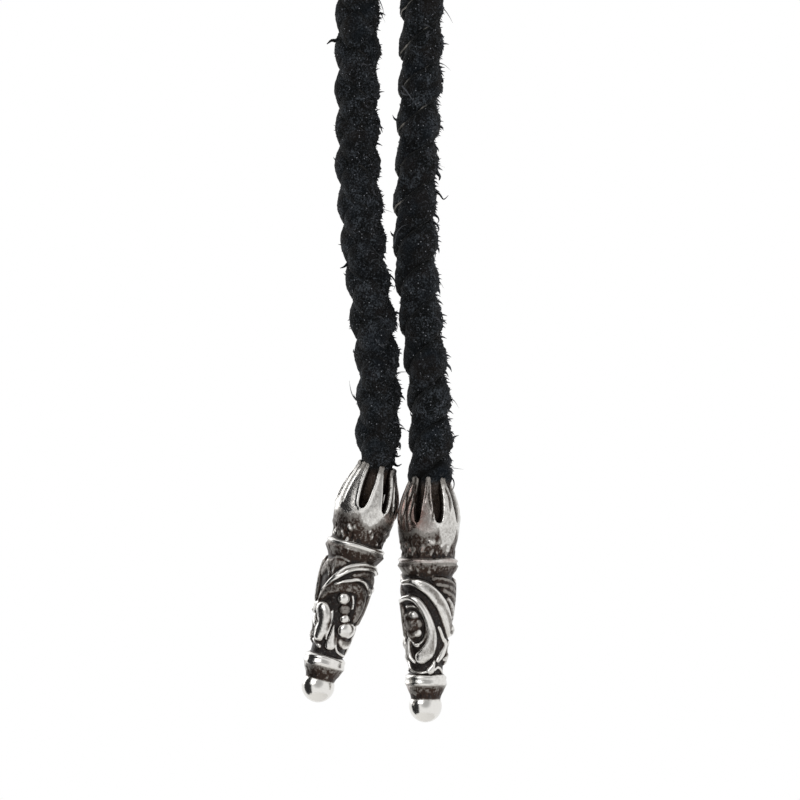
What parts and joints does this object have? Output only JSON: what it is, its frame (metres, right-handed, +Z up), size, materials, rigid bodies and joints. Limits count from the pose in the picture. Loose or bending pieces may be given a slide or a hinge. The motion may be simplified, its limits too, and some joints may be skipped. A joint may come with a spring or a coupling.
{
  "type": "braided leather cord necklace",
  "caption": "Closed neck loop of black braided suede lace, gathered by a plain silver slide, with hanging tails that end in cast silver scroll-work tips.",
  "frame": {"origin": "point at the back of the neck that the loop hangs on, on the inner side of the cord", "axes": "+Z up, +X to the viewer's right as seen from the front, the front and the hanging tails towards -Y"},
  "size_m": [0.1268, 0.121, 0.3208],
  "materials": {
    "braided_suede": "black suede lace, brushed nap with loose fibres and darker skin-side edges",
    "turned_silver": "sterling silver, softly polished, with fine handling scratches",
    "cast_silver": "cast sterling silver, polished on the raised work and oxidised brown-black in the recesses"
  },
  "bodies": {
    "root": {"neck_loop_braid": "braided_suede", "tail_braid_left": "braided_suede", "tail_braid_right": "braided_suede", "cord_keeper": "turned_silver", "tip_left": "cast_silver", "tip_right": "cast_silver"}
  },
  "joints": []
}
